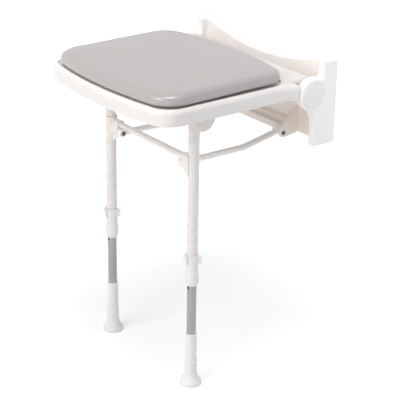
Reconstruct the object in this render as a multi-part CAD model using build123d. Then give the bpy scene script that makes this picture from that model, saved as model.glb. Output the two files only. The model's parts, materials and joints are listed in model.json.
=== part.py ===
import os
from math import atan2, cos, radians, sin, tan

from build123d import *

os.makedirs("parts", exist_ok=True)

# Frame: millimetres, X to the right facing the wall, Y into the wall, Z up.
# The origin is the centre of the four wall screws, on the wall plane Y = 0.

# Wall bracket moulding
bracket_width = 415.0
bracket_top = 90.0
bracket_bottom = -87.0
cheek_width = 21.5
tip_depth = 35.0
cheek_foot_depth = 53.0
cheek_waist_depth = 57.0
boss_radius = 34.0
boss_fillet_top = 6.0
boss_fillet_bottom = 38.0
cheek_corner_radius = 7.0
cheek_edge_radius = 6.0
panel_depth = 22.0
panel_sag = 34.0
tip_flat = 8.0
bracket_lip_radius = 7.0
cove_radius = 14.0
bracket_wall = 5.0
bracket_rib = 3.0
bracket_rib_pitch = 62.0
ledge_depth = 44.0
ledge_height = 15.0
upper_ledge_depth = 34.0
upper_ledge_height = 25.0
ledge_edge_radius = 2.0

cheek_outer_x = bracket_width / 2
cheek_inner_x = cheek_outer_x - cheek_width

# Wall screws
bolt_span_x = 300.0
bolt_span_z = 60.0
bolt_hole_radius = 3.5
bolt_head_radius = 7.5
bolt_head_depth = 7.0
bolt_pillar_radius = 11.5

# Fold linkage: seat hinge, leg pivot, cross tube and stay pivot make a parallelogram
hinge_y = -58.0
hinge_z = 24.0
link_reach = 247.0
link_fall = 15.0
link_drop = 105.0
leg_pivot_y = hinge_y - link_reach
leg_pivot_z = hinge_z - link_fall
stay_pivot_y = hinge_y
stay_pivot_z = hinge_z - link_drop
stay_front_y = leg_pivot_y
stay_front_z = leg_pivot_z - link_drop

# Fits
slip_gap = 0.05
seat_gap = 0.3
side_gap = 2.5

# Seat hinge
hinge_pin_radius = 7.0
hinge_pin_rim = 4.0
hinge_pin_head = 2.8
hinge_cap_radius = 27.3
hinge_cap_thickness = 3.4
hinge_cap_proud = 0.8
hinge_cap_edge = 0.7
hinge_cap_gap = 0.25
hinge_bush_wall = 3.0
hinge_bush_rim = 3.5
hinge_bush_flange = 1.5
knuckle_wall = 10.0
knuckle_width = 26.0
hinge_pin_head_radius = hinge_pin_radius + hinge_pin_rim
hinge_bush_radius = hinge_pin_radius + hinge_bush_wall
hinge_bush_flange_radius = hinge_bush_radius + hinge_bush_rim
knuckle_radius = hinge_bush_radius + knuckle_wall

# Seat frame moulding
seat_side_inset = 4.5
seat_flare = 1.0
seat_front_y = -437.5
seat_front_bow = 22.5
seat_corner_radius = 48.0
seat_rise = 31.0
seat_skirt = 32.0
seat_rim_radius = 11.0
seat_wall = 4.0
seat_rib = 3.0
skirt_edge_radius = 2.0
seat_rib_depth = 12.0
seat_recess = 3.0
shoulder_gap = 1.5
shoulder_angle = radians(30)
shoulder_edge_radius = 3.0
shoulder_droop = 8.0
shoulder_droop_length = 70.0
skirt_heel = 7.0
skirt_heel_length = 36.0
neck_back = 13.0
neck_drop = 8.0
neck_edge_radius = 11.0
neck_corner_radius = 14.0
seat_rear_half = cheek_outer_x - seat_side_inset
seat_front_half = seat_rear_half + seat_flare
neck_half = cheek_inner_x - side_gap
seat_top = hinge_z + seat_rise
seat_rear_y = hinge_y + neck_back
shoulder_radius = boss_radius + shoulder_gap
seat_shoulder_y = hinge_y - shoulder_radius * cos(shoulder_angle)
skirt_bottom = seat_top - seat_skirt
deck_underside = seat_top - seat_recess - seat_wall

# Pad
pad_inset_front = 10.5
pad_inset_side = 10.0
pad_taper = 2.0
pad_rear_y = -93.0
pad_front_bow = 21.0
pad_rear_bow = 30.0
pad_front_corner = 40.0
pad_rear_corner = 44.0
pad_top = 82.0
pad_crown = 3.0
pad_edge_radius = 12.0
pad_foot_radius = 7.0
pad_margin = 2.0
pad_screw_x = 95.0
pad_screw_rows = (-200.0, -310.0)
pad_front_y = seat_front_y + pad_inset_front
pad_front_half = seat_front_half - pad_inset_side
pad_rear_half = pad_front_half - pad_taper
pad_screw_radius = 2.2
pad_screw_head_radius = 4.5
pad_screw_head = 2.4
pad_screw_depth = 16.0

# Legs
leg_spacing = 286.0
leg_radius = 11.1
leg_wall = 1.4
leg_top_margin = 13.0
leg_bush_wall = 2.0
leg_pin_radius = 4.0
leg_pin_rim = 2.5
leg_pin_head = 2.2
leg_plug_depth = 6.0
leg_plug_dome = 2.0
ear_radius = 25.0
ear_rise = 5.5
ear_thickness = 5.0
ear_inset = 28.5
ear_blind = 2.2
leg_lug_offset = 23.0
leg_lug_thickness = 5.0
leg_lug_radius = 13.0
leg_lug_root_half = 21.0
leg_x = leg_spacing / 2
leg_lug_x = leg_x - leg_lug_offset
leg_bush_radius = leg_pin_radius + leg_bush_wall
leg_pin_head_radius = leg_pin_radius + leg_pin_rim
floor_z = -572.0

# Cross tube, saddles and stays
cross_radius = 6.35
cross_wall = 1.4
cross_rise = 15.0
cross_setback = 3.0
saddle_wall = 2.5
saddle_height = 40.0
saddle_socket_wall = 2.65
saddle_pivot_radius = 8.0
saddle_web = 6.0
saddle_web_drop = 16.0
stay_x = 103.0
stay_radius = 6.35
stay_wall = 1.4
stay_eye_radius = 8.0
stay_eye_width = 13.0
stay_eye_gap = 0.1
stay_knee_y = -150.0
stay_knee_drop = 17.0
stay_knee_radius = 70.0
stay_end_radius = 9.0
lug_offset = 10.0
lug_thickness = 7.0
lug_radius = 10.0
lug_root_top = -22.0
lug_gap = 0.5
stay_screw_radius = 3.0
stay_screw_head_radius = 4.4
stay_screw_head = 2.6
stay_nut_flats = 10.0
stay_nut_thickness = 5.0
saddle_radius = leg_radius + saddle_wall
saddle_socket_radius = cross_radius + saddle_socket_wall
saddle_inner_x = stay_x + stay_eye_width / 2 + lug_gap
lug_x = stay_x + lug_offset
cross_y = stay_front_y + cross_setback
cross_z = stay_front_z + cross_rise

# Height adjusters
collar_bottom = -345.0
collar_wall = 1.2
collar_bulge = 1.3
collar_mouth_wall = 1.7
collar_chamfer_height = 6.0
collar_bulge_height = 25.0
collar_shoulder_height = 5.0
collar_height = 68.0
collar_lip = 8.0
clip_height = 16.0
clip_wall = 3.0
clip_gap = 0.3
clip_arm = 7.0
clip_flare = 4.0
clip_tab_half = 6.0
clip_tab_reach = 18.5
clip_top_margin = 1.0
clip_corner = 1.2
peg_radius = 3.0
peg_nose_gap = 0.3
index_pitch = 32.0
index_above = 1
index_below = 2
index_hole_gap = 0.2
tube_gap = 0.2
inner_wall = 1.3
inner_top = -225.0
glide_height = 6.0
glide_depth = 14.0
glide_gap = 0.1
inner_radius = leg_radius - leg_wall - tube_gap
collar_neck_radius = leg_radius + collar_wall
collar_bulge_radius = collar_neck_radius + collar_bulge
collar_mouth_radius = inner_radius + collar_mouth_wall

# Feet
foot_height = 54.0
foot_base_radius = 22.5
foot_base_edge = 6.0
foot_neck_proud = 0.8
foot_neck_height = 16.0
foot_floor = 8.0
foot_bead = 1.0
foot_tread_width = 2.5
foot_tread_depth = 1.0
sleeve_height = 63.0
sleeve_wall = 2.3
sleeve_edge = 1.2
sleeve_radius = inner_radius + sleeve_wall
foot_neck_radius = sleeve_radius + foot_neck_proud

collar_top = collar_bottom + collar_height
clip_top = collar_top - clip_top_margin
clip_bottom = clip_top - clip_height
peg_z = clip_bottom + clip_height / 2
foot_top = floor_z + foot_height
sleeve_top = foot_top + sleeve_height


def nearest(items, point):
    target = Vector(*point)
    return min(items, key=lambda item: (item.center() - target).length)


def along_x(sketch, x_start, x_end):
    return extrude(Plane.YZ.offset(x_start) * sketch, x_end - x_start)


def rod_x(radius, x_start, x_end, y, z):
    return along_x(Pos(y, z) * Circle(radius), x_start, x_end)


def rod_y(radius, y_start, y_end, x, z):
    return Pos(x, (y_start + y_end) / 2, z) * Rot(90, 0, 0) * Cylinder(radius, y_end - y_start)


def rod_z(radius, z_start, z_end, x=0.0, y=0.0):
    return Pos(x, y, (z_start + z_end) / 2) * Cylinder(radius, z_end - z_start)


def block(x_start, x_end, y_start, y_end, z_start, z_end):
    size = Box(x_end - x_start, y_end - y_start, z_end - z_start)
    return Pos((x_start + x_end) / 2, (y_start + y_end) / 2, (z_start + z_end) / 2) * size


def turned(*points):
    return revolve(Plane.XZ * make_face(Polyline(*points, close=True)), Axis.Z)


def hung_plate(pivot_y, pivot_z, radius, root_z, root_half):
    eye = Pos(pivot_y, pivot_z) * Circle(radius)
    root = Line((pivot_y - root_half, root_z), (pivot_y + root_half, root_z))
    return make_hull(eye.edges() + root.edges())


def both_sides(shape):
    return shape + mirror(shape, about=Plane.YZ)


def save(name, shape):
    export_step(shape, f"parts/{name}.step")


def save_pair(name, right_shape):
    save(f"{name}_right", right_shape)
    save(f"{name}_left", mirror(right_shape, about=Plane.YZ))


# Wall bracket

def cheek_outline():
    outline = make_face(Polyline(
        (0, bracket_bottom),
        (-cheek_foot_depth, bracket_bottom),
        (-cheek_waist_depth, hinge_z - boss_radius / 2),
        (hinge_y, hinge_z),
        (-tip_depth, hinge_z + boss_radius / 2),
        (-tip_depth, bracket_top),
        (0, bracket_top),
        close=True,
    ))
    outline += Pos(hinge_y, hinge_z) * Circle(boss_radius)
    boss_top = nearest(outline.vertices(), (-tip_depth, hinge_z + boss_radius, 0))
    outline = fillet(boss_top, boss_fillet_top)
    boss_foot = nearest(outline.vertices(), (-cheek_waist_depth, hinge_z - boss_radius, 0))
    outline = fillet(boss_foot, boss_fillet_bottom)
    tip = nearest(outline.vertices(), (-tip_depth, bracket_top, 0))
    heel = nearest(outline.vertices(), (-cheek_foot_depth, bracket_bottom, 0))
    return fillet([tip, heel], cheek_corner_radius)


def bracket_plan(half_width, inner_half, front_y, back_y, corner):
    reach = 2 * boss_radius - hinge_y
    plan = Pos(0, (back_y - reach) / 2) * Rectangle(2 * half_width, back_y + reach)
    gap = Pos(0, (front_y - 2 * reach) / 2) * Rectangle(2 * inner_half, front_y + 2 * reach)
    gap = fillet(gap.vertices().group_by(Axis.Y)[-1], corner)
    return plan - gap


def dished_top(drop):
    half = cheek_outer_x - tip_flat
    arc = ThreePointArc((-half, bracket_top), (0, bracket_top - panel_sag), (half, bracket_top))
    dish = make_face([arc.edge(), Line((half, bracket_top), (-half, bracket_top)).edge()])
    depth = boss_radius - hinge_y
    cut = extrude(Plane.XZ.offset(-1) * dish, depth + 2)
    return Pos(0, 0, -drop) * cut


def ledge_outline(wall):
    inset = -panel_depth + 1 + wall
    return make_face(Polyline(
        (inset, bracket_bottom + wall),
        (-ledge_depth + wall, bracket_bottom + wall),
        (-ledge_depth + wall, bracket_bottom + ledge_height - wall),
        (-upper_ledge_depth + wall, bracket_bottom + ledge_height - wall),
        (-upper_ledge_depth + wall, bracket_bottom + upper_ledge_height - wall),
        (inset, bracket_bottom + upper_ledge_height - wall),
        close=True,
    ))


def on_cheek_nose(edge):
    middle = edge.center()
    cove_end = -panel_depth - cove_radius
    in_front = middle.Y < cove_end + cove_radius / 2 and abs(middle.Y - cove_end) > slip_gap
    return abs(abs(middle.X) - cheek_inner_x) < 1 and in_front and middle.Z > bracket_bottom + 1


def bracket_skin():
    plan = bracket_plan(cheek_outer_x, cheek_inner_x, -panel_depth, 0, cove_radius)
    skin = extrude(Pos(0, 0, bracket_bottom) * plan, bracket_top - bracket_bottom)
    skin &= along_x(cheek_outline(), -cheek_outer_x, cheek_outer_x)
    skin -= dished_top(0)
    skin = fillet([edge for edge in skin.edges() if on_cheek_nose(edge)], bracket_lip_radius)
    for outer_x in (-cheek_outer_x, cheek_outer_x):
        rim = skin.faces().filter_by(Axis.X).sort_by(lambda face: abs(face.center().X - outer_x))[0]
        skin = fillet([edge for edge in rim.edges() if edge.center().Y < -1], cheek_edge_radius)
    ledge = along_x(ledge_outline(0), -lug_x - 1, lug_x + 1)
    fronts = [edge for edge in ledge.edges().filter_by(Axis.X) if edge.center().Y < -upper_ledge_depth + 1]
    return skin + fillet(fronts, ledge_edge_radius)


def bracket_hollow():
    wall = bracket_wall
    plan = bracket_plan(cheek_outer_x - wall, cheek_inner_x + wall, wall - panel_depth, 1, cove_radius + wall)
    hollow = extrude(Pos(0, 0, bracket_bottom + wall) * plan, bracket_top - bracket_bottom - 2 * wall)
    back = Pos(0, (bracket_top + bracket_bottom) / 2) * Rectangle(
        panel_depth, bracket_top - bracket_bottom - 2 * wall)
    hollow &= along_x(offset(cheek_outline(), -wall) + back, -cheek_outer_x, cheek_outer_x)
    hollow -= dished_top(wall)
    hollow -= Pos(0, 0, bracket_top) * Box(2 * (cheek_outer_x - tip_flat), 4 * panel_depth, 2 * wall)
    return hollow + along_x(ledge_outline(wall), -lug_x + wall, lug_x - wall)


def bracket_stiffeners():
    ribs = None
    count = int(cheek_inner_x // bracket_rib_pitch)
    for index in range(-count, count + 1):
        x = index * bracket_rib_pitch
        rib = block(x - bracket_rib / 2, x + bracket_rib / 2, -ledge_depth, 0, bracket_bottom, bracket_top)
        ribs = rib if ribs is None else ribs + rib
    ribs += block(-cheek_outer_x, cheek_outer_x, -ledge_depth, 0, -bracket_rib / 2, bracket_rib / 2)
    for x in (-bolt_span_x / 2, bolt_span_x / 2):
        for z in (-bolt_span_z / 2, bolt_span_z / 2):
            ribs += rod_y(bolt_pillar_radius, -panel_depth, 0, x, z)
    pin_tube = hinge_pin_head_radius + bracket_wall
    return ribs + rod_x(pin_tube, -cheek_outer_x, cheek_outer_x, hinge_y, hinge_z)


def stay_lug():
    eye = Pos(stay_pivot_y, stay_pivot_z) * Circle(lug_radius)
    root = Line((1 - panel_depth, bracket_bottom), (1 - panel_depth, lug_root_top))
    plate = along_x(make_hull(eye.edges() + root.edges()), lug_x, lug_x + lug_thickness)
    return plate - rod_x(stay_screw_radius + slip_gap, lug_x - 1, lug_x + lug_thickness + 1,
                         stay_pivot_y, stay_pivot_z)


def wall_bracket():
    hollow = bracket_hollow()
    bracket = bracket_skin() - hollow
    bracket += bracket_stiffeners() & hollow
    bracket += both_sides(stay_lug())
    for x in (-bolt_span_x / 2, bolt_span_x / 2):
        for z in (-bolt_span_z / 2, bolt_span_z / 2):
            bracket -= rod_y(bolt_hole_radius, -panel_depth - 1, 1, x, z)
            bracket -= rod_y(bolt_head_radius, -panel_depth - 1, -panel_depth + bolt_head_depth, x, z)
    cap_floor = cheek_outer_x + hinge_cap_proud - hinge_cap_thickness
    pin_seat = cap_floor - hinge_pin_head
    bore = rod_x(hinge_pin_radius + slip_gap, cheek_inner_x - 1, pin_seat + 1, hinge_y, hinge_z)
    bore += rod_x(hinge_pin_head_radius + slip_gap, pin_seat, cap_floor + 1, hinge_y, hinge_z)
    bore += rod_x(hinge_cap_radius + hinge_cap_gap, cap_floor, cheek_outer_x + 1, hinge_y, hinge_z)
    return bracket - both_sides(bore)


def hinge_pin():
    cap_floor = cheek_outer_x + hinge_cap_proud - hinge_cap_thickness
    pin_seat = cap_floor - hinge_pin_head
    inner_end = neck_half - knuckle_width
    pin = rod_x(hinge_pin_radius, inner_end, pin_seat, hinge_y, hinge_z)
    pin = chamfer(pin.edges().group_by(Axis.X)[0], 1.0)
    return pin + rod_x(hinge_pin_head_radius, pin_seat, cap_floor, hinge_y, hinge_z)


def hinge_cap():
    outer = cheek_outer_x + hinge_cap_proud
    cap = rod_x(hinge_cap_radius, outer - hinge_cap_thickness, outer, hinge_y, hinge_z)
    return fillet(cap.edges().group_by(Axis.X)[-1], hinge_cap_edge)


def hinge_bush():
    inner_end = neck_half - knuckle_width
    bush = rod_x(hinge_bush_radius, inner_end, neck_half, hinge_y, hinge_z)
    bush += rod_x(hinge_bush_flange_radius, neck_half, neck_half + hinge_bush_flange, hinge_y, hinge_z)
    return bush - rod_x(hinge_pin_radius + slip_gap, inner_end - 1, cheek_inner_x, hinge_y, hinge_z)


# Seat frame and pad

def bowed_outline(front_half, rear_half, front_y, rear_y, front_bow, rear_bow, front_corner, rear_corner):
    front_side = front_y + front_bow
    rear_side = rear_y - rear_bow
    sides = [
        Line((rear_half, rear_side), (front_half, front_side)).edge(),
        ThreePointArc((front_half, front_side), (0, front_y), (-front_half, front_side)).edge(),
        Line((-front_half, front_side), (-rear_half, rear_side)).edge(),
    ]
    if rear_bow > 0:
        sides.append(ThreePointArc((-rear_half, rear_side), (0, rear_y), (rear_half, rear_side)).edge())
    else:
        sides.append(Line((-rear_half, rear_side), (rear_half, rear_side)).edge())
    outline = make_face(sides)
    outline = fillet(outline.vertices().sort_by(Axis.Y)[:2], front_corner)
    if rear_corner > 0:
        outline = fillet(outline.vertices().sort_by(Axis.Y)[-2:], rear_corner)
    return outline


def seat_outline():
    return bowed_outline(seat_front_half, seat_rear_half, seat_front_y, seat_shoulder_y,
                         seat_front_bow, 0, seat_corner_radius, 0)


def pad_outline():
    return bowed_outline(pad_front_half, pad_rear_half, pad_front_y, pad_rear_y,
                         pad_front_bow, pad_rear_bow, pad_front_corner, pad_rear_corner)


def seat_half_width(y):
    share = (seat_shoulder_y - y) / (seat_shoulder_y - seat_front_y - seat_front_bow)
    return seat_rear_half + share * (seat_front_half - seat_rear_half)


def seat_side(top, bottom):
    front = seat_front_y - seat_wall
    back = seat_shoulder_y + seat_wall
    droop_y = seat_shoulder_y - shoulder_droop_length
    heel_y = seat_shoulder_y - skirt_heel_length
    droop_radius = (shoulder_droop_length ** 2 + shoulder_droop ** 2) / (2 * shoulder_droop)
    turn = 2 * atan2(shoulder_droop, shoulder_droop_length)
    half_turn = turn / 2
    mid = (droop_y + droop_radius * sin(half_turn), top - droop_radius * (1 - cos(half_turn)))
    end = (seat_shoulder_y, top - shoulder_droop)
    tail = (back, end[1] - (back - seat_shoulder_y) * tan(turn))
    return make_face([
        Line((front, bottom), (heel_y, bottom)).edge(),
        Line((heel_y, bottom), (seat_shoulder_y, bottom - skirt_heel)).edge(),
        Line((seat_shoulder_y, bottom - skirt_heel), (back, bottom - skirt_heel)).edge(),
        Line((back, bottom - skirt_heel), tail).edge(),
        Line(tail, end).edge(),
        ThreePointArc(end, mid, (droop_y, top)).edge(),
        Line((droop_y, top), (front, top)).edge(),
        Line((front, top), (front, bottom)).edge(),
    ])


def runs_across(edge):
    return edge.geom_type == GeomType.LINE and abs(edge.tangent_at(0.5).X) > 0.999


def on_shoulder_top(edge):
    middle = edge.center()
    hollow_top = hinge_z + shoulder_radius * sin(shoulder_angle)
    return abs(middle.Y - seat_shoulder_y) < slip_gap and middle.Z > hollow_top + 1


def seat_shell():
    depth = seat_skirt + skirt_heel
    shell = extrude(Pos(0, 0, seat_top - depth) * seat_outline(), depth)
    shell &= along_x(seat_side(seat_top, skirt_bottom), -seat_front_half, seat_front_half)
    flat, droop = shell.faces().sort_by(Axis.Z)[-1:-3:-1]
    rim = [edge for edge in flat.edges() + droop.edges() if not runs_across(edge)]
    shell = fillet(rim, seat_rim_radius)
    skirt_foot = [edge for edge in shell.edges() if edge.center().Z < skirt_bottom + 1]
    shell = fillet([edge for edge in skirt_foot if not runs_across(edge)], skirt_edge_radius)
    shell -= rod_x(shoulder_radius, -seat_front_half, seat_front_half, hinge_y, hinge_z)
    return fillet([edge for edge in shell.edges() if on_shoulder_top(edge)], shoulder_edge_radius)


def seat_hollow():
    thickness = seat_recess + seat_wall
    depth = seat_skirt + 2 * skirt_heel
    hollow = extrude(Pos(0, 0, deck_underside - depth) * offset(seat_outline(), -seat_wall), depth)
    side = seat_side(seat_top - thickness, skirt_bottom - depth)
    hollow &= along_x(side, -seat_front_half, seat_front_half)
    return hollow - rod_x(shoulder_radius + seat_wall, -seat_front_half, seat_front_half, hinge_y, hinge_z)


def seat_neck():
    front = seat_shoulder_y - shoulder_droop_length
    neck = block(-neck_half, neck_half, front, seat_rear_y, hinge_z - neck_drop, seat_top)
    neck = fillet(neck.edges().filter_by(Axis.Z).group_by(Axis.Y)[-1], neck_corner_radius)
    top_edges = neck.edges().group_by(Axis.Z)[-1]
    neck = fillet([edge for edge in top_edges if edge.center().Y > hinge_y], neck_edge_radius)
    inside = block(seat_wall - neck_half, neck_half - seat_wall, front - 1, seat_rear_y - seat_wall,
                   hinge_z - 2 * neck_drop, deck_underside)
    return neck, inside


def seat_ribs():
    bottom = deck_underside - seat_rib_depth
    ribs = block(-seat_rib / 2, seat_rib / 2, seat_front_y, seat_rear_y, bottom, seat_top)
    for x in (leg_lug_x / 2, leg_lug_x + leg_lug_thickness - seat_rib / 2):
        rib = block(x - seat_rib / 2, x + seat_rib / 2, seat_front_y, seat_rear_y, bottom, seat_top)
        ribs += both_sides(rib)
    for share in (0.25, 0.5, 0.75):
        y = hinge_y + share * (seat_front_y - hinge_y)
        ribs += block(-seat_front_half, seat_front_half, y - seat_rib / 2, y + seat_rib / 2, bottom, seat_top)
    return ribs


def knuckle():
    inner_end = neck_half - knuckle_width
    plate = hung_plate(hinge_y, hinge_z, knuckle_radius, deck_underside + 1, knuckle_radius / 2)
    return along_x(plate, inner_end, neck_half)


def leg_hangers():
    ear_outer = seat_half_width(leg_pivot_y) - ear_inset
    ear = along_x(hung_plate(leg_pivot_y, leg_pivot_z + ear_rise, ear_radius, deck_underside + 1, ear_radius),
                  ear_outer - ear_thickness, ear_outer)
    lug = along_x(hung_plate(leg_pivot_y, leg_pivot_z, leg_lug_radius, deck_underside + 1, leg_lug_root_half),
                  leg_lug_x, leg_lug_x + leg_lug_thickness)
    return ear + lug - rod_x(leg_pin_radius + slip_gap, 0, ear_outer - ear_blind, leg_pivot_y, leg_pivot_z)


def pad_screw_places():
    return [(x, y) for x in (-pad_screw_x, pad_screw_x) for y in pad_screw_rows]


def seat_frame():
    hollow = seat_hollow()
    neck, neck_inside = seat_neck()
    frame = seat_shell() - hollow + neck - neck_inside
    frame += seat_ribs() & (hollow + neck_inside)
    frame += both_sides(knuckle()) + both_sides(leg_hangers())
    recess = offset(pad_outline(), pad_margin)
    frame -= extrude(Pos(0, 0, seat_top - seat_recess) * recess, 2 * seat_recess)
    inner_end = neck_half - knuckle_width
    frame -= both_sides(rod_x(hinge_bush_radius + slip_gap, inner_end - 1, cheek_inner_x, hinge_y, hinge_z))
    for x, y in pad_screw_places():
        frame -= rod_z(pad_screw_radius + slip_gap, deck_underside - 1, seat_top, x, y)
    return frame


def seat_pad():
    bottom = seat_top - seat_recess + seat_gap
    pad = extrude(Pos(0, 0, bottom) * pad_outline(), pad_top - bottom)
    middle = (pad_front_y + pad_rear_y) / 2
    crown_radius = (pad_front_half ** 2 + pad_crown ** 2) / (2 * pad_crown)
    pad &= Pos(0, middle, pad_top - crown_radius) * Sphere(crown_radius)
    flat = pad.faces().sort_by(Axis.Z)
    pad = fillet(flat[-1].edges(), pad_edge_radius)
    pad = fillet(pad.faces().sort_by(Axis.Z)[0].edges(), pad_foot_radius)
    for x, y in pad_screw_places():
        pad -= rod_z(pad_screw_radius + slip_gap, bottom - 1, bottom + pad_screw_depth, x, y)
    return pad


def pad_screws():
    screws = []
    tip = seat_top - seat_recess + pad_screw_depth
    for x, y in pad_screw_places():
        head = rod_z(pad_screw_head_radius, deck_underside - pad_screw_head, deck_underside, x, y)
        head = fillet(head.edges().group_by(Axis.Z)[0], pad_screw_head / 2)
        screws.append(head + rod_z(pad_screw_radius, deck_underside, tip, x, y))
    return Compound(children=screws)


# Legs, cross tube and stays

def peg_hole(z):
    return rod_y(peg_radius + index_hole_gap, leg_pivot_y - 2 * leg_radius, leg_pivot_y, leg_x, z)


def leg_tube():
    tube_top = leg_pivot_z + leg_top_margin
    tube_bottom = collar_bottom + collar_lip
    tube = rod_z(leg_radius, tube_bottom, tube_top, leg_x, leg_pivot_y)
    tube -= rod_z(leg_radius - leg_wall, tube_bottom - 1, tube_top + 1, leg_x, leg_pivot_y)
    tube -= rod_x(leg_bush_radius + slip_gap, 0, 2 * leg_x, leg_pivot_y, leg_pivot_z)
    return tube - peg_hole(peg_z)


def leg_plug():
    tube_top = leg_pivot_z + leg_top_margin
    bore = leg_radius - leg_wall - slip_gap
    plug = rod_z(bore, tube_top - leg_plug_depth, tube_top, leg_x, leg_pivot_y)
    dome = rod_z(leg_radius, tube_top, tube_top + leg_plug_dome, leg_x, leg_pivot_y)
    return plug + fillet(dome.edges().group_by(Axis.Z)[-1], 0.9 * leg_plug_dome)


def leg_bush():
    outer_end = seat_half_width(leg_pivot_y) - ear_inset - ear_thickness - seat_gap
    inner_end = leg_lug_x + leg_lug_thickness + seat_gap
    bush = rod_x(leg_bush_radius, inner_end, outer_end, leg_pivot_y, leg_pivot_z)
    return bush - rod_x(leg_pin_radius + slip_gap, inner_end - 1, outer_end + 1, leg_pivot_y, leg_pivot_z)


def leg_pin():
    outer_end = seat_half_width(leg_pivot_y) - ear_inset - ear_blind - seat_gap
    pin = rod_x(leg_pin_radius, leg_lug_x, outer_end, leg_pivot_y, leg_pivot_z)
    pin = chamfer(pin.edges().group_by(Axis.X)[-1], 0.8)
    return pin + rod_x(leg_pin_head_radius, leg_lug_x - leg_pin_head, leg_lug_x, leg_pivot_y, leg_pivot_z)


def cross_tube():
    end = leg_x - leg_radius - seat_gap - leg_wall
    tube = rod_x(cross_radius, -end, end, cross_y, cross_z)
    return tube - rod_x(cross_radius - cross_wall, -end - 1, end + 1, cross_y, cross_z)


def stay_pin_end():
    return stay_x - stay_eye_width / 2 - seat_gap


def saddle():
    inner_end = saddle_inner_x
    middle_z = (cross_z + stay_front_z) / 2
    half_height = saddle_height / 2
    clasp = rod_z(saddle_radius, middle_z - half_height, middle_z + half_height, leg_x, leg_pivot_y)
    reach = 2 * saddle_radius
    clasp -= block(leg_x - 1, leg_x + reach, leg_pivot_y - reach, leg_pivot_y + reach,
                   middle_z - saddle_height, middle_z + saddle_height)
    cheek = make_hull((Pos(cross_y, cross_z) * Circle(saddle_socket_radius)).edges()
                      + (Pos(stay_front_y, stay_front_z) * Circle(saddle_pivot_radius)).edges())
    cheek = along_x(cheek, inner_end, leg_x)
    web_foot = stay_front_z - saddle_pivot_radius - saddle_web_drop
    web = extrude(Plane.XZ.offset(-leg_pivot_y - saddle_web / 2) * make_face(Polyline(
        (inner_end, stay_front_z),
        (leg_x, stay_front_z),
        (leg_x, web_foot),
        (leg_x - leg_radius - 1, web_foot),
        (inner_end, stay_front_z - saddle_pivot_radius),
        close=True,
    )), saddle_web)
    body = clasp + cheek + web
    bore_foot = web_foot - saddle_height
    bore_top = cross_z + saddle_height
    body -= rod_z(leg_radius + slip_gap, bore_foot, bore_top, leg_x, leg_pivot_y)
    body -= rod_x(cross_radius + slip_gap, inner_end - 1, leg_x, cross_y, cross_z)
    pin_depth = leg_x - leg_radius - 1
    return body - rod_x(stay_screw_radius + slip_gap, inner_end - 1, pin_depth, stay_front_y, stay_front_z)


def saddle_screws():
    inner = stay_pin_end()
    head = rod_x(stay_screw_head_radius, inner - stay_screw_head, inner, stay_front_y, stay_front_z)
    head = fillet(head.edges().group_by(Axis.X)[0], 0.6 * stay_screw_head)
    tip = leg_x - leg_radius - 1 - seat_gap
    screw = head + rod_x(stay_screw_radius, inner, tip, stay_front_y, stay_front_z)
    return Compound(children=[screw, mirror(screw, about=Plane.YZ)])


def stay():
    start = Vector(stay_front_y, stay_front_z)
    knee = Vector(stay_knee_y, stay_pivot_z - stay_knee_drop)
    finish = Vector(stay_pivot_y, stay_pivot_z)
    bite = stay_screw_radius + stay_wall
    start += (knee - start).normalized() * bite
    finish += (knee - finish).normalized() * bite
    route = Plane.YZ.offset(stay_x) * FilletPolyline(start, knee, finish, radius=stay_knee_radius)
    ring = Circle(stay_radius) - Circle(stay_radius - stay_wall)
    bar = sweep(Plane(origin=route @ 0, z_dir=route % 0) * ring, path=route)
    eye = rod_x(stay_eye_radius, stay_x - stay_eye_width / 2, stay_x + stay_eye_width / 2,
                stay_front_y, stay_front_z)
    end = rod_x(stay_end_radius, stay_x - stay_radius, lug_x - lug_gap, stay_pivot_y, stay_pivot_z)
    body = bar + eye + end
    body -= rod_x(stay_screw_radius + stay_eye_gap, 0, 2 * stay_x, stay_front_y, stay_front_z)
    return body - rod_x(stay_screw_radius + slip_gap, 0, 2 * stay_x, stay_pivot_y, stay_pivot_z)


def stay_nut_outer():
    return stay_x - stay_radius - seat_gap


def stay_screw():
    outer = lug_x + lug_thickness
    head = rod_x(stay_screw_head_radius, outer, outer + stay_screw_head, stay_pivot_y, stay_pivot_z)
    head = fillet(head.edges().group_by(Axis.X)[-1], 0.6 * stay_screw_head)
    tip = stay_nut_outer() - stay_nut_thickness - 1
    return head + rod_x(stay_screw_radius, tip, outer, stay_pivot_y, stay_pivot_z)


def stay_nuts():
    outer = stay_nut_outer()
    flats = RegularPolygon(stay_nut_flats / 2, 6, major_radius=False)
    nut = along_x(Pos(stay_pivot_y, stay_pivot_z) * flats, outer - stay_nut_thickness, outer)
    nut -= rod_x(stay_screw_radius + slip_gap, 0, 2 * stay_x, stay_pivot_y, stay_pivot_z)
    return Compound(children=[nut, mirror(nut, about=Plane.YZ)])


# Height adjusters and feet

def guide_collar():
    z = collar_bottom
    mouth = inner_radius + glide_gap
    socket = leg_radius + slip_gap
    collar = turned(
        (mouth, z),
        (collar_mouth_radius, z),
        (collar_bulge_radius, z + collar_chamfer_height),
        (collar_bulge_radius, z + collar_bulge_height),
        (collar_neck_radius, z + collar_bulge_height + collar_shoulder_height),
        (collar_neck_radius, collar_top),
        (socket, collar_top),
        (socket, z + collar_lip),
        (mouth, z + collar_lip),
    )
    collar = Pos(leg_x, leg_pivot_y, 0) * collar
    return collar - peg_hole(peg_z)


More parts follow.
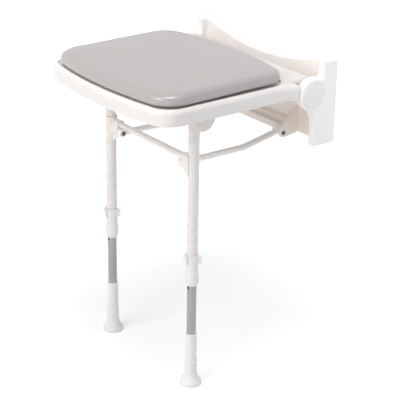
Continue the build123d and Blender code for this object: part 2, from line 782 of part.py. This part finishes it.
def lock_clip():
    inner = collar_neck_radius + clip_gap
    outer = inner + clip_wall
    span = Pos(0, clip_arm / 2)
    shape = Circle(outer) + span * Rectangle(2 * outer, clip_arm)
    shape += Pos(0, -(clip_tab_reach + inner) / 2) * Rectangle(2 * clip_tab_half, clip_tab_reach - inner)
    flare = make_face(Polyline(
        (inner, clip_arm - clip_wall),
        (outer, clip_arm - clip_wall),
        (outer + clip_flare, clip_arm + clip_flare - clip_wall),
        (outer + clip_flare - clip_wall, clip_arm + clip_flare),
        (inner, clip_arm),
        close=True,
    ))
    shape += flare + mirror(flare, about=Plane.YZ)
    shape -= Circle(inner) + Pos(0, outer) * Rectangle(2 * inner, 2 * outer)
    tips = [tip for tip in shape.vertices()
            if abs(tip.X) > outer + clip_gap or tip.Y < clip_gap - clip_tab_reach]
    clip = extrude(Pos(leg_x, leg_pivot_y, clip_bottom) * fillet(tips, clip_corner), clip_height)
    nose = leg_pivot_y - inner_radius - peg_nose_gap
    return clip + rod_y(peg_radius, leg_pivot_y - inner - clip_wall / 2, nose, leg_x, peg_z)


def inner_tube():
    bottom = floor_z + foot_floor
    tube = rod_z(inner_radius, bottom, inner_top, leg_x, leg_pivot_y)
    tube -= rod_z(inner_radius - inner_wall, bottom - 1, inner_top + 1, leg_x, leg_pivot_y)
    for step in range(-index_below, index_above + 1):
        tube -= peg_hole(peg_z + step * index_pitch)
    return tube


def tube_glide():
    bore = inner_radius - inner_wall - slip_gap
    head = leg_radius - leg_wall - glide_gap
    glide = rod_z(bore, inner_top - glide_depth, inner_top, leg_x, leg_pivot_y)
    glide += rod_z(head, inner_top, inner_top + glide_height, leg_x, leg_pivot_y)
    through = rod_z(bore - inner_wall, inner_top - leg_spacing, inner_top + leg_spacing, leg_x, leg_pivot_y)
    return glide - through


def foot_sleeve():
    bore = inner_radius + slip_gap
    sleeve = rod_z(sleeve_radius, foot_top, sleeve_top, leg_x, leg_pivot_y)
    sleeve = chamfer(sleeve.edges().group_by(Axis.Z)[-1], sleeve_edge)
    return sleeve - rod_z(bore, foot_top - 1, sleeve_top + 1, leg_x, leg_pivot_y)


def rubber_foot():
    bore = inner_radius + slip_gap
    neck_z = foot_top - foot_neck_height
    profile = make_face([
        Line((0, floor_z), (foot_base_radius, floor_z)).edge(),
        Line((foot_base_radius, floor_z), (foot_base_radius, floor_z + foot_base_edge)).edge(),
        RadiusArc((foot_base_radius, floor_z + foot_base_edge), (foot_neck_radius, neck_z),
                  2 * foot_base_radius).edge(),
        Line((foot_neck_radius, neck_z), (foot_neck_radius, foot_top)).edge(),
        Line((foot_neck_radius, foot_top), (bore, foot_top)).edge(),
        Line((bore, foot_top), (bore, floor_z + foot_floor)).edge(),
        Line((bore, floor_z + foot_floor), (0, floor_z + foot_floor)).edge(),
        Line((0, floor_z + foot_floor), (0, floor_z)).edge(),
    ])
    foot = revolve(Plane.XZ * profile, Axis.Z)
    for radius in (foot_base_radius / 3, 2 * foot_base_radius / 3):
        tread = Circle(radius + foot_tread_width / 2) - Circle(radius - foot_tread_width / 2)
        foot -= extrude(Pos(0, 0, floor_z) * tread, foot_tread_depth)
    bead = turned(
        (foot_neck_radius - foot_bead, foot_top - 4 * foot_bead),
        (foot_neck_radius + foot_bead, foot_top - 3 * foot_bead),
        (foot_neck_radius + foot_bead, foot_top - foot_bead),
        (foot_neck_radius - foot_bead, foot_top),
    )
    return Pos(leg_x, leg_pivot_y, 0) * (foot + bead)


save("wall_bracket", wall_bracket())
save_pair("hinge_pin", hinge_pin())
save_pair("hinge_cap", hinge_cap())
save_pair("hinge_bush", hinge_bush())
save("seat_frame", seat_frame())
save("seat_pad", seat_pad())
save("pad_screws", pad_screws())
save_pair("leg_tube", leg_tube())
save_pair("leg_plug", leg_plug())
save_pair("leg_bush", leg_bush())
save_pair("leg_pin", leg_pin())
save("cross_tube", cross_tube())
save_pair("saddle", saddle())
save("saddle_screws", saddle_screws())
save_pair("stay", stay())
save_pair("stay_screw", stay_screw())
save("stay_nuts", stay_nuts())
save_pair("guide_collar", guide_collar())
save_pair("lock_clip", lock_clip())
save_pair("inner_tube", inner_tube())
save_pair("tube_glide", tube_glide())
save_pair("foot_sleeve", foot_sleeve())
save_pair("rubber_foot", rubber_foot())
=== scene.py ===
import json
import math

import bpy
from mathutils import Matrix, Vector


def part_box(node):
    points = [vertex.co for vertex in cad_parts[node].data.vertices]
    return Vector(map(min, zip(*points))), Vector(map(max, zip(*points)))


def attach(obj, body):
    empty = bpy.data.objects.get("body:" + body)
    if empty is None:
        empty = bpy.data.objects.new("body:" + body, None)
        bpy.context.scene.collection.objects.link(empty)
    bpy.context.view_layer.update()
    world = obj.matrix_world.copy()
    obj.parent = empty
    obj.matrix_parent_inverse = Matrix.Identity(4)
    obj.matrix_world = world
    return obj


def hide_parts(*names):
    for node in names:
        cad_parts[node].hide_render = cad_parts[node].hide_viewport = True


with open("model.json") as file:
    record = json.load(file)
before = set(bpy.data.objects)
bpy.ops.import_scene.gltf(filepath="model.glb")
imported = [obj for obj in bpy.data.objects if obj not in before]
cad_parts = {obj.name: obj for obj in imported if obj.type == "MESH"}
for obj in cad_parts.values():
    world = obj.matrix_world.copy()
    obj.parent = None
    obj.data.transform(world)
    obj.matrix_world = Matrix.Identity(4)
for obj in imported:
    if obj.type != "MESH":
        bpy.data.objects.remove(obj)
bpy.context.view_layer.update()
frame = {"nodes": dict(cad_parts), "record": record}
nodes = frame["nodes"]
scene = bpy.context.scene
scene.view_settings.view_transform = "Standard"
print("frame loaded,", len(nodes), "pieces from the CAD")


# camera, at the photograph's place
viewpoint = {
    "sensor": 36,               # mm
    "lens": 116.14,             # mm
    "azimuth": 52.22,           # degrees round from the front, towards +X
    "elevation": 23.02,
    "roll": 0.99,
    "distance": 2.67986,        # metres, as are all lengths from here on
    "target": (0.02934, -0.2, -0.22669),
    "farClip": 60,
}


def placeCamera(v):
    turn, lift, roll = (math.radians(v[key]) for key in ("azimuth", "elevation", "roll"))
    back = Vector((math.sin(turn) * math.cos(lift), -math.cos(turn) * math.cos(lift), math.sin(lift)))
    level = Vector((math.cos(turn), math.sin(turn), 0))
    upright = back.cross(level)
    right = math.cos(roll) * level + math.sin(roll) * upright
    up = math.cos(roll) * upright - math.sin(roll) * level
    bpy.ops.object.camera_add()
    camera = bpy.context.object
    camera.data.sensor_width = v["sensor"]
    camera.data.lens = v["lens"]
    camera.data.clip_end = v["farClip"]
    turned = Matrix((right, up, back)).transposed().to_4x4()
    camera.matrix_world = Matrix.Translation(Vector(v["target"]) + v["distance"] * back) @ turned
    scene.camera = camera


placeCamera(viewpoint)
print("camera placed")


# small pieces of node tree that the studio and the finishes share
noiseRange = (0.3, 0.7)         # where most of a noise lies
mixFactor, mixFirst, mixSecond, mixResult = 0, 6, 7, 2      # the colour sockets of a Mix node


def spread(tree, value, low, high, fromLow=noiseRange[0], fromHigh=noiseRange[1]):
    span = tree.nodes.new("ShaderNodeMapRange")
    span.inputs["From Min"].default_value = fromLow
    span.inputs["From Max"].default_value = fromHigh
    span.inputs["To Min"].default_value = low
    span.inputs["To Max"].default_value = high
    tree.links.new(value, span.inputs["Value"])
    return span.outputs["Result"]


def combine(tree, operation, first, second):
    joined = tree.nodes.new("ShaderNodeMath")
    joined.operation = operation
    tree.links.new(first, joined.inputs[0])
    tree.links.new(second, joined.inputs[1])
    return joined.outputs[0]


def blendColours(tree, factor, first, second):
    mix = tree.nodes.new("ShaderNodeMix")
    mix.data_type = "RGBA"
    mix.inputs[mixFirst].default_value = (*first, 1)
    mix.inputs[mixSecond].default_value = (*second, 1)
    tree.links.new(factor, mix.inputs[mixFactor])
    return mix.outputs[mixResult]


# floor, sky and lamps
studio = {
    "floorHeight": -0.572,
    "floorSize": 24,
    "floorColour": (0.82, 0.82, 0.82, 1),
    "floorLift": (0.32, 0.92),  # added for the camera only, under the object and far from it
    "floorFade": (0.5, 2.6),    # where the far lift starts and is full
    "backdrop": (1, 1, 1, 1),   # what the camera and the gloss see in place of the sky
    "skyLeft": (0.66, 0.66, 0.655),
    "skyRight": (0.25, 0.268, 0.31),
    "lamps": [                  # name, watts, size, place, aim, colour, seen in gloss
        ("keySoftbox", 138, 3.6, (0.5, -5.0, 2.9), (0, -0.2, -0.1), (0.97, 0.985, 1.0), True),
        ("fillSoftbox", 5, 1.0, (1.3, -2.0, -0.25), (0, -0.3, -0.2), (0.97, 0.985, 1.0), False),
        ("topSoftbox", 23, 0.8, (0.45, -0.6, 2.35), (0, -0.25, 0), (0.98, 0.99, 1.0), True),
        ("rearSideSoftbox", 2.8, 0.4, (0.62, 0.55, 0.2), (0.2, -0.1, 0), (0.88, 0.94, 1.0), False),
    ],
}


def seenDirectly(tree):
    path = tree.nodes.new("ShaderNodeLightPath")
    seen = path.outputs["Is Camera Ray"]
    for ray in ("Is Glossy Ray", "Is Transmission Ray"):
        seen = combine(tree, "MAXIMUM", seen, path.outputs[ray])
    return seen


def layFloor(s):
    bpy.ops.mesh.primitive_plane_add(size=s["floorSize"], location=(0, 0, s["floorHeight"]))
    floor = bpy.context.object
    floor.name = "studioFloor"
    paper = bpy.data.materials.new("studioPaper")
    paper.use_nodes = True
    tree = paper.node_tree
    tree.nodes.remove(tree.nodes["Principled BSDF"])
    matt = tree.nodes.new("ShaderNodeBsdfDiffuse")
    matt.inputs["Color"].default_value = s["floorColour"]
    place = tree.nodes.new("ShaderNodeTexCoord")
    reach = tree.nodes.new("ShaderNodeVectorMath")
    reach.operation = "LENGTH"
    tree.links.new(place.outputs["Object"], reach.inputs[0])
    lift = spread(tree, reach.outputs["Value"], *s["floorLift"], *s["floorFade"])
    glow = tree.nodes.new("ShaderNodeEmission")
    glow.inputs["Color"].default_value = s["backdrop"]
    tree.links.new(combine(tree, "MULTIPLY", seenDirectly(tree), lift), glow.inputs["Strength"])
    both = tree.nodes.new("ShaderNodeAddShader")
    tree.links.new(matt.outputs[0], both.inputs[0])
    tree.links.new(glow.outputs[0], both.inputs[1])
    tree.links.new(both.outputs[0], tree.nodes["Material Output"].inputs["Surface"])
    floor.data.materials.append(paper)


def raiseSky(s):
    world = bpy.data.worlds.new("studioSky")
    scene.world = world
    world.use_nodes = True
    tree = world.node_tree
    ambient = tree.nodes["Background"]
    way = tree.nodes.new("ShaderNodeTexCoord")
    across = tree.nodes.new("ShaderNodeSeparateXYZ")
    tree.links.new(way.outputs["Generated"], across.inputs[0])
    fromLeft = spread(tree, across.outputs["X"], 0, 1, -1, 1)
    tree.links.new(blendColours(tree, fromLeft, s["skyLeft"], s["skyRight"]), ambient.inputs["Color"])
    backdrop = tree.nodes.new("ShaderNodeBackground")
    backdrop.inputs["Color"].default_value = s["backdrop"]
    pick = tree.nodes.new("ShaderNodeMixShader")
    tree.links.new(seenDirectly(tree), pick.inputs[0])
    tree.links.new(ambient.outputs[0], pick.inputs[1])
    tree.links.new(backdrop.outputs[0], pick.inputs[2])
    tree.links.new(pick.outputs[0], tree.nodes["World Output"].inputs["Surface"])


def hangLamps(lamps):
    for name, watts, size, place, aim, colour, glossy in lamps:
        bpy.ops.object.light_add(type="AREA", location=place)
        lamp = bpy.context.object
        lamp.name = name
        lamp.data.energy = watts
        lamp.data.size = size
        lamp.data.color = colour
        lamp.visible_glossy = glossy
        lamp.rotation_euler = (Vector(aim) - Vector(place)).to_track_quat("-Z", "Y").to_euler()


layFloor(studio)
raiseSky(studio)
hangLamps(studio["lamps"])
print("studio lit")


# finishes, all on Object coordinates; a pattern is its blotch size and detail, a bump its strength and depth
def startFinish(name):
    finish = bpy.data.materials.new(name)
    finish.use_nodes = True
    tree = finish.node_tree
    place = tree.nodes.new("ShaderNodeTexCoord")
    return finish, tree, tree.nodes["Principled BSDF"], place.outputs["Object"]


def addNoise(tree, coords, size, detail, stretch=(1, 1, 1)):
    mapping = tree.nodes.new("ShaderNodeMapping")
    mapping.inputs["Scale"].default_value = stretch
    noise = tree.nodes.new("ShaderNodeTexNoise")
    noise.inputs["Scale"].default_value = 1 / size
    noise.inputs["Detail"].default_value = detail
    tree.links.new(coords, mapping.inputs["Vector"])
    tree.links.new(mapping.outputs["Vector"], noise.inputs["Vector"])
    return noise.outputs[0]


def addBump(tree, height, strength, depth, under=None):
    bump = tree.nodes.new("ShaderNodeBump")
    bump.inputs["Strength"].default_value = strength
    bump.inputs["Distance"].default_value = depth
    tree.links.new(height, bump.inputs["Height"])
    if under is not None:
        tree.links.new(under, bump.inputs["Normal"])
    return bump.outputs["Normal"]


def varyTone(tree, pattern, tone, other):
    return blendColours(tree, spread(tree, pattern, 0, 1), tone, other)


mouldings = {                   # tone, warmer tone, roughness low and high, grain size, grain depth
    "bracketPlastic": ((0.96, 0.92, 0.88), (0.955, 0.91, 0.865), 0.22, 0.26, 0.0011, 0.00003),
    "framePlastic": ((0.845, 0.80, 0.76), (0.84, 0.79, 0.745), 0.19, 0.23, 0.0011, 0.00003),
    "capPlastic": ((0.90, 0.86, 0.82), (0.895, 0.85, 0.81), 0.22, 0.26, 0.0009, 0.00003),
    "saddleNylon": ((0.89, 0.83, 0.775), (0.88, 0.815, 0.755), 0.34, 0.40, 0.0008, 0.00004),
    "collarNylon": ((0.875, 0.83, 0.785), (0.865, 0.82, 0.77), 0.32, 0.38, 0.0008, 0.00004),
    "clipNylon": ((0.875, 0.835, 0.795), (0.865, 0.825, 0.78), 0.32, 0.38, 0.0008, 0.00004),
    "bushNylon": ((0.80, 0.77, 0.72), (0.785, 0.75, 0.70), 0.40, 0.46, 0.0008, 0.00004),
    "sleevePlastic": ((0.875, 0.83, 0.79), (0.865, 0.82, 0.78), 0.26, 0.32, 0.0009, 0.00003),
}
mouldedSurface = {
    "flow": (0.11, 3.0),        # slow flow marks, in the tone
    "haze": (0.06, 2.0),        # in the roughness
    "sink": (0.03, 1.0),        # faint sink marks
    "sinkStrength": 0.05,
    "sinkDepth": 10,            # times the grain's depth
    "grainDetail": 1.0,
    "grainStrength": 0.06,
}
bracketPaintedShade = {               # painted shade: a warm darkening multiplied into the bracket's colour between the cheeks and below the panel, where the seat's shade and warm bounced light fall
    "shade": (0.94, 0.885, 0.83),
    "height": (0.050, 0.010),   # where the shade starts and is full
    "width": (0.197, 0.190),
    "depth": (-0.066, -0.040),  # the lugs stand in front of it
}


# paints shade into a colour: darker and warmer in the bracket's hollow, fading out at the given heights,
# widths and depths
def shadeInside(tree, coords, colour, b):
    axes = tree.nodes.new("ShaderNodeSeparateXYZ")
    tree.links.new(coords, axes.inputs[0])
    side = tree.nodes.new("ShaderNodeMath")
    side.operation = "ABSOLUTE"
    tree.links.new(axes.outputs["X"], side.inputs[0])
    paintedShadeMask = spread(tree, axes.outputs["Z"], 0, 1, *b["height"])
    for place, limits in ((side.outputs[0], b["width"]), (axes.outputs["Y"], b["depth"])):
        paintedShadeMask = combine(tree, "MULTIPLY", paintedShadeMask, spread(tree, place, 0, 1, *limits))
    shade = tree.nodes.new("ShaderNodeMix")
    shade.data_type = "RGBA"
    shade.blend_type = "MULTIPLY"
    shade.inputs[mixSecond].default_value = (*b["shade"], 1)
    tree.links.new(paintedShadeMask, shade.inputs[mixFactor])
    tree.links.new(colour, shade.inputs[mixFirst])
    return shade.outputs[mixResult]


def mouldedFinish(name, m, tone, warm, low, high, grain, depth):
    finish, tree, shader, coords = startFinish(name)
    colour = varyTone(tree, addNoise(tree, coords, *m["flow"]), tone, warm)
    # only the bracket gets this painted shade, in its hollow below the panel
    if name == "bracketPlastic":
        colour = shadeInside(tree, coords, colour, bracketPaintedShade)
    tree.links.new(colour, shader.inputs["Base Color"])
    tree.links.new(spread(tree, addNoise(tree, coords, *m["haze"]), low, high), shader.inputs["Roughness"])
    marks = addNoise(tree, coords, *m["sink"])
    sunk = addBump(tree, marks, m["sinkStrength"], m["sinkDepth"] * depth)
    cells = addNoise(tree, coords, grain, m["grainDetail"])
    tree.links.new(addBump(tree, cells, m["grainStrength"], depth, sunk), shader.inputs["Normal"])
    return finish


coatings = {                    # tone, shaded tone, roughness low and high
    "legPaint": ((0.85, 0.79, 0.735), (0.84, 0.78, 0.72), 0.26, 0.30),
    # the stays carry the legs' white coat painted lighter: painted light against the shade of the seat above
    # them
    "stayPaintWithPaintedLight": ((0.97, 0.92, 0.87), (0.96, 0.905, 0.85), 0.26, 0.32),
}
coatedSurface = {
    "drift": (0.06, 3.0, (1, 1, 0.35)),     # drawn out along the legs
    "haze": (0.02, 4.0),
    "coat": 0.15,
    "coatRoughness": 0.2,
    "peel": (0.0024, 1.0),                  # orange peel of the powder coat
    "peelBump": (0.04, 0.00004),
}


def coatedFinish(name, c, tone, shade, low, high):
    finish, tree, shader, coords = startFinish(name)
    colour = varyTone(tree, addNoise(tree, coords, *c["drift"]), tone, shade)
    tree.links.new(colour, shader.inputs["Base Color"])
    tree.links.new(spread(tree, addNoise(tree, coords, *c["haze"]), low, high), shader.inputs["Roughness"])
    shader.inputs["Coat Weight"].default_value = c["coat"]
    shader.inputs["Coat Roughness"].default_value = c["coatRoughness"]
    peel = addNoise(tree, coords, *c["peel"])
    tree.links.new(addBump(tree, peel, *c["peelBump"]), shader.inputs["Normal"])
    return finish


metals = {                      # tone, darker streak, metallic, roughness low and high, streak stretch
    "innerAluminium": ((0.40, 0.385, 0.385), (0.34, 0.33, 0.33), 0.55, 0.34, 0.42, (1, 1, 0.02)),
    "pinSteel": ((0.62, 0.61, 0.60), (0.52, 0.52, 0.52), 1.0, 0.22, 0.34, (0.05, 1, 1)),
    "darkScrew": ((0.13, 0.125, 0.12), (0.09, 0.087, 0.085), 1.0, 0.30, 0.42, (0.3, 1, 1)),
}
metalSurface = {
    "streaks": (0.0011, 3.0),
    "cloud": (0.03, 3.0),       # in the roughness
    "streakBump": (0.15, 0.00004),
}


def metalFinish(name, m, tone, streak, metallic, low, high, stretch):
    finish, tree, shader, coords = startFinish(name)
    shader.inputs["Metallic"].default_value = metallic
    streaks = addNoise(tree, coords, *m["streaks"], stretch)
    tree.links.new(varyTone(tree, streaks, tone, streak), shader.inputs["Base Color"])
    tree.links.new(spread(tree, addNoise(tree, coords, *m["cloud"]), low, high), shader.inputs["Roughness"])
    tree.links.new(addBump(tree, streaks, *m["streakBump"]), shader.inputs["Normal"])
    return finish


padSkin = {
    "tone": (0.432, 0.394, 0.376),
    "cool": (0.420, 0.386, 0.372),
    "drift": (0.09, 4.0),
    "rough": (0.22, 0.27),
    "haze": (0.03, 3.0),
    "gloss": 1.0,
    "cell": 0.0016,             # leather-like cells of the moulded skin
    "crease": (0.0, 0.12),      # where a crease is deepest and where it ends in its cell
    "creaseBump": (0.04, 0.00003),
    "wave": (0.05, 1.0),        # shallow unevenness of the foam
    "waveBump": (0.04, 0.0004),
}


def padFinish(name, p):
    finish, tree, shader, coords = startFinish(name)
    colour = varyTone(tree, addNoise(tree, coords, *p["drift"]), p["tone"], p["cool"])
    tree.links.new(colour, shader.inputs["Base Color"])
    tree.links.new(spread(tree, addNoise(tree, coords, *p["haze"]), *p["rough"]), shader.inputs["Roughness"])
    shader.inputs["Specular IOR Level"].default_value = p["gloss"]
    cells = tree.nodes.new("ShaderNodeTexVoronoi")
    cells.feature = "DISTANCE_TO_EDGE"
    cells.inputs["Scale"].default_value = 1 / p["cell"]
    tree.links.new(coords, cells.inputs["Vector"])
    creases = spread(tree, cells.outputs["Distance"], 0, 1, *p["crease"])
    creased = addBump(tree, creases, *p["creaseBump"])
    wave = addNoise(tree, coords, *p["wave"])
    tree.links.new(addBump(tree, wave, *p["waveBump"], creased), shader.inputs["Normal"])
    return finish


rubber = {
    "tone": (0.90, 0.86, 0.82),
    "dull": (0.86, 0.82, 0.78),
    "drift": (0.02, 5.0),
    "rough": (0.52, 0.68),
    "haze": (0.006, 3.0),
    "grain": (0.0007, 2.0),
    "grainBump": (0.35, 0.00007),
}


def rubberFinish(name, r):
    finish, tree, shader, coords = startFinish(name)
    colour = varyTone(tree, addNoise(tree, coords, *r["drift"]), r["tone"], r["dull"])
    tree.links.new(colour, shader.inputs["Base Color"])
    tree.links.new(spread(tree, addNoise(tree, coords, *r["haze"]), *r["rough"]), shader.inputs["Roughness"])
    grain = addNoise(tree, coords, *r["grain"])
    tree.links.new(addBump(tree, grain, *r["grainBump"]), shader.inputs["Normal"])
    return finish


finishes = {}
for name, look in mouldings.items():
    finishes[name] = mouldedFinish(name, mouldedSurface, *look)
for name, look in coatings.items():
    finishes[name] = coatedFinish(name, coatedSurface, *look)
for name, look in metals.items():
    finishes[name] = metalFinish(name, metalSurface, *look)
finishes["padFoam"] = padFinish("padFoam", padSkin)
finishes["footRubber"] = rubberFinish("footRubber", rubber)
print("finishes made:", len(finishes))


# the record's slots are the same finishes in its own spelling
slotFinish = {
    "bracket_plastic": "bracketPlastic", "frame_plastic": "framePlastic", "cap_plastic": "capPlastic",
    "pad_foam": "padFoam", "leg_paint": "legPaint", "stay_paint": "stayPaintWithPaintedLight", "saddle_nylon": "saddleNylon",
    "collar_nylon": "collarNylon", "clip_nylon": "clipNylon", "bush_nylon": "bushNylon",
    "sleeve_plastic": "sleevePlastic", "inner_aluminium": "innerAluminium", "foot_rubber": "footRubber",
    "pin_steel": "pinSteel", "dark_screw": "darkScrew",
}
for part in frame["record"]["subparts"]:
    piece = nodes[part["node"]]
    piece.data.materials.clear()
    piece.data.materials.append(finishes[slotFinish[part["material_slot"]]])
print("CAD pieces painted")


# seat pad, one moulded foam piece over the CAD pad
pad = {
    "merge": 0.00005,           # joins the CAD pad's loose triangles
    "sectionHeight": 0.0168,    # where the CAD pad gives the outline, above its screw holes
    "cornerEase": 0.014,        # how much rounder the front corners are than the tray's
    "frontTurn": 78,            # degrees from the side's facing to the front edge's at those corners
    "cuts": 7,
    "waist": 0.0075,            # the widest line, above the pad's base
    "touch": 0.00001,           # how near the waist a face has to lie to count as on it
    "tuck": 0.004,              # radius of the lower edge
    "foot": 0.012,              # how far the foot stands in from the side
    "wall": (0.0006, 0.009),    # the side above the waist, how far it leans in and how high it stands
    "roll": (0.0135, 0.024),    # how far the top edge rolls in, at the sides and at the front and rear
    "steps": 9,                 # rings in each rounded edge
    "crown": 0.003,
    "crownSteps": (0.012, 0.018, 0.025, 0.030, 0.030),
    "rearLift": 0.5,            # degrees about the front edge
    "voxel": 0.0025,
    "relax": 0.5,
    "smoothing": 5,             # passes
    "fill": 0.9,
}


def cutOutline(p, base):
    # copies the CAD pad and leaves only its outline, as one flat face
    bpy.ops.object.select_all(action="DESELECT")
    cushion = nodes["seat_pad"].copy()
    cushion.data = nodes["seat_pad"].data.copy()
    cushion.parent = None
    cushion.name = "padCushion"
    for key in list(cushion.keys()):
        del cushion[key]
    scene.collection.objects.link(cushion)
    cushion.select_set(True)
    bpy.context.view_layer.objects.active = cushion
    bpy.ops.object.mode_set(mode="EDIT")
    bpy.ops.mesh.select_mode(type="VERT")
    bpy.ops.mesh.select_all(action="SELECT")
    bpy.ops.mesh.remove_doubles(threshold=p["merge"])
    bpy.ops.mesh.select_all(action="SELECT")
    bpy.ops.mesh.bisect(plane_co=(0, 0, base + p["sectionHeight"]), plane_no=(0, 0, 1), use_fill=True,
                        clear_inner=True, clear_outer=True)
    return cushion


def easeCorners(cushion, p):
    # cuts the front corners along the tangents of a larger round
    bpy.ops.object.mode_set(mode="OBJECT")
    outline = [corner.co.copy() for corner in cushion.data.vertices]
    bpy.ops.object.mode_set(mode="EDIT")
    whole = math.radians(p["frontTurn"])
    for side in (-1, 1):
        for step in range(1, p["cuts"]):
            turn = whole * step / p["cuts"]
            gain = (math.cos(turn) + math.cos(whole - turn)) / (1 + math.cos(whole)) - 1
            outwards = Vector((side * math.cos(turn), -math.sin(turn), 0))
            reach = max(outwards.dot(corner) for corner in outline) - p["cornerEase"] * gain
            bpy.ops.mesh.select_all(action="SELECT")
            bpy.ops.mesh.bisect(plane_co=outwards * reach, plane_no=outwards, clear_outer=True)


def quarterRound(across, along, upwards, steps):
    turns = [math.radians(90) * step / steps for step in range(1, steps + 1)]
    return [(across * (1 - math.cos(turn)), along * (1 - math.cos(turn)), upwards * math.sin(turn))
            for turn in turns]


# a ring is how far in it lies across, how far in along, and how far up from the waist
def topRings(p, height):
    lean, wall = p["wall"]
    rise = height - p["crown"] - p["waist"] - wall
    rings = [(lean / 2, lean / 2, wall / 2), (lean, lean, wall)]
    rings += [(lean + across, lean + along, wall + up)
              for across, along, up in quarterRound(*p["roll"], rise, p["steps"])]
    flat = sum(p["crownSteps"])
    run = 0
    for inwards in p["crownSteps"]:
        run += inwards
        crown = p["crown"] * (1 - (1 - run / flat) ** 2)
        rings.append((*(lean + roll + run for roll in p["roll"]), wall + rise + crown))
    return rings


def lowerRings(p):
    foot = p["foot"]
    base = foot + p["wall"][0]
    rings = quarterRound(p["tuck"], p["tuck"], -p["tuck"], p["steps"])
    return rings + [(foot, foot, -p["tuck"]), (base, base, -p["waist"])]


def drawRings(rings, centre, half):
    was = (0, 0, 0)
    for ring in rings:
        bpy.ops.mesh.extrude_region_move(TRANSFORM_OT_translate={"value": (0, 0, ring[2] - was[2])})
        shrink = [(half[way] - ring[way]) / (half[way] - was[way]) for way in (0, 1)]
        bpy.ops.transform.resize(value=(*shrink, 1), center_override=centre)
        was = ring


def selectWaist(cushion, height, touch):
    # the outline's own face is left at the waist when the top is drawn, and the foot is drawn from it
    bpy.ops.mesh.select_mode(type="FACE")
    bpy.ops.mesh.select_all(action="DESELECT")
    bpy.ops.object.mode_set(mode="OBJECT")
    for face in cushion.data.polygons:
        face.select = abs(face.center.z - height) < touch
    bpy.ops.object.mode_set(mode="EDIT")


def softenPad(cushion, p):
    remesh = cushion.modifiers.new("foamBody", "REMESH")
    remesh.mode = "VOXEL"
    remesh.voxel_size = p["voxel"]
    bpy.ops.object.modifier_apply(modifier=remesh.name)
    relax = cushion.modifiers.new("foamRelax", "SMOOTH")
    relax.factor = p["relax"]
    relax.iterations = p["smoothing"]
    bpy.ops.object.modifier_apply(modifier=relax.name)
    bpy.ops.object.shade_smooth()


def makePad(p):
    low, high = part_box("seat_pad")
    centre = [(a + b) / 2 for a, b in zip(low, high)]
    half = [(b - a) / 2 for a, b in zip(low, high)]
    cushion = cutOutline(p, low[2])
    easeCorners(cushion, p)
    bpy.ops.mesh.select_all(action="SELECT")
    bpy.ops.transform.translate(value=(0, 0, p["waist"] - p["sectionHeight"]))
    drawRings(topRings(p, high[2] - low[2]), centre, half)
    selectWaist(cushion, low[2] + p["waist"], p["touch"])
    drawRings(lowerRings(p), centre, half)
    bpy.ops.mesh.select_all(action="SELECT")
    bpy.ops.mesh.normals_make_consistent(inside=False)
    bpy.ops.transform.rotate(value=-math.radians(p["rearLift"]), orient_axis="X",      # minus lifts the rear
                             center_override=(0, low[1], low[2]))
    bpy.ops.object.mode_set(mode="OBJECT")
    softenPad(cushion, p)
    cushion.data.materials.clear()
    cushion.data.materials.append(finishes["padFoam"])
    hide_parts("seat_pad")
    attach(cushion, "seat")
    print("pad modelled,", len(cushion.data.polygons), "faces")


makePad(pad)
